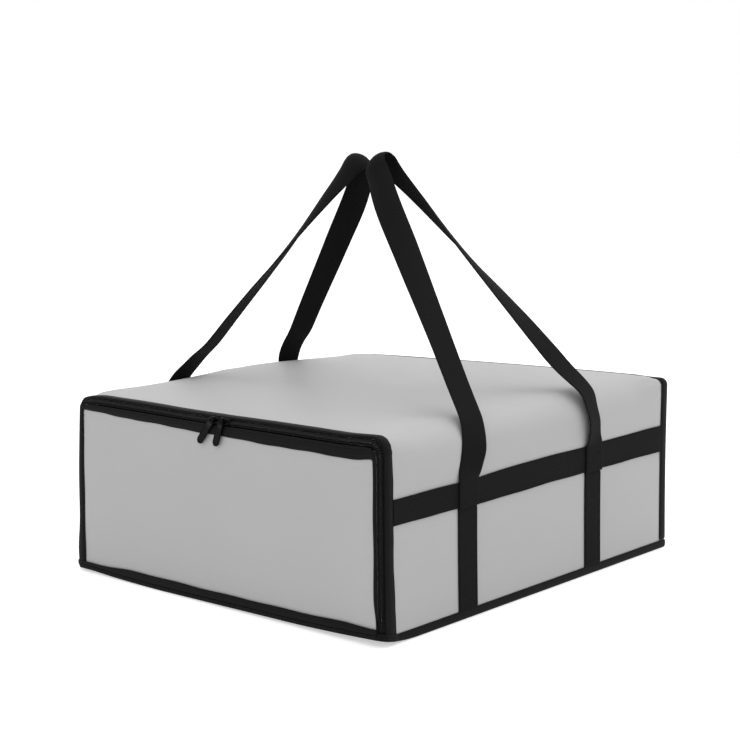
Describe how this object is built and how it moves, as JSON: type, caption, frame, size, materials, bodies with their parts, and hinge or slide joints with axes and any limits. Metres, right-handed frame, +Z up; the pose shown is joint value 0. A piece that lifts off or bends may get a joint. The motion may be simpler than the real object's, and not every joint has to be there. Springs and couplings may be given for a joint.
{
  "type": "insulated food delivery bag",
  "caption": "Insulated box bag of coated fabric with a zipped front flap hinged at its foot, sliders with pulls, side belts and straps, and webbing handles that fold.",
  "frame": {"origin": "on the surface that the bag stands on, under the middle of its base", "axes": "X to the right across the front flap, Y from the flap to the rear panel, Z up"},
  "size_m": [0.5688, 0.6272, 0.5697],
  "materials": {
    "silver": "smooth coated",
    "tape": "satin tape",
    "webbing": "ribbed matte",
    "foam": "matt",
    "foil": "bright foil on film",
    "zip": "matt",
    "slider": "gloss",
    "teeth": "satin"
  },
  "bodies": {
    "bag": {"wrap_outer": "silver", "wrap_foam": "foam", "wrap_lining": "foil", "rear_outer": "silver", "rear_foam": "foam", "rear_lining": "foil", "base_outer": "tape", "base_foam": "foam", "base_lining": "foil", "mouth_binding": "tape", "rear_binding": "tape", "base_binding_left": "tape", "base_binding_right": "tape", "base_binding_rear": "tape", "hinge_binding": "tape", "belt_left": "webbing", "belt_right": "webbing", "strap_left_front": "webbing", "handle_end_left_front": "webbing", "strap_left_rear": "webbing", "handle_end_left_rear": "webbing", "strap_right_front": "webbing", "handle_end_right_front": "webbing", "strap_right_rear": "webbing", "handle_end_right_rear": "webbing", "zip_tape_body": "zip", "zip_teeth_body": "teeth", "zip_stop_left": "slider", "zip_stop_right": "slider"},
    "flap": {"flap_outer": "silver", "flap_foam": "foam", "flap_lining": "foil", "flap_binding": "tape", "flap_foot_band": "tape", "zip_tape_flap": "zip", "zip_teeth_flap": "teeth"},
    "zip_slider_left": {"slider_left": "slider"},
    "zip_slider_right": {"slider_right": "slider"},
    "zip_pull_left": {"pull_left": "slider"},
    "zip_pull_right": {"pull_right": "slider"},
    "handle_left_lower": {"handle_leg_left_front": "webbing", "handle_leg_left_rear": "webbing"},
    "handle_left_upper": {"handle_loop_left": "webbing"},
    "handle_right_lower": {"handle_leg_right_front": "webbing", "handle_leg_right_rear": "webbing"},
    "handle_right_upper": {"handle_loop_right": "webbing"}
  },
  "joints": [
    {"name": "flap_hinge", "type": "hinge", "parent": "bag", "child": "flap", "pos_m": [0, -0.31, 0.006], "axis": [1, 0, 0], "range_deg": [0, 90]},
    {"name": "slider_left_slide", "type": "slide", "parent": "flap", "child": "zip_slider_left", "axis": [-1, 0, 0], "range_m": [0, 0.241]},
    {"name": "slider_right_slide", "type": "slide", "parent": "flap", "child": "zip_slider_right", "axis": [1, 0, 0], "range_m": [0, 0.221]},
    {"name": "pull_left_hinge", "type": "hinge", "parent": "zip_slider_left", "child": "zip_pull_left", "pos_m": [0.002, -0.31267, 0.2454], "axis": [-1, 0, 0], "range_deg": [0, 168]},
    {"name": "pull_right_hinge", "type": "hinge", "parent": "zip_slider_right", "child": "zip_pull_right", "pos_m": [0.02, -0.31267, 0.2454], "axis": [-1, 0, 0], "range_deg": [0, 168]},
    {"name": "handle_right_belt_fold", "type": "hinge", "parent": "bag", "child": "handle_right_lower", "pos_m": [0.2834, 0, 0.1797], "axis": [0, 1, 0], "range_deg": [0, 90]},
    {"name": "handle_right_shoulder_fold", "type": "hinge", "parent": "handle_right_lower", "child": "handle_right_upper", "pos_m": [0.2622, 0, 0.253], "axis": [0, 1, 0], "range_deg": [-47, 60]},
    {"name": "handle_left_belt_fold", "type": "hinge", "parent": "bag", "child": "handle_left_lower", "pos_m": [-0.2834, 0, 0.1797], "axis": [0, 1, 0], "range_deg": [-90, 0]},
    {"name": "handle_left_shoulder_fold", "type": "hinge", "parent": "handle_left_lower", "child": "handle_left_upper", "pos_m": [-0.2622, 0, 0.253], "axis": [0, 1, 0], "range_deg": [-60, 47]}
  ]
}
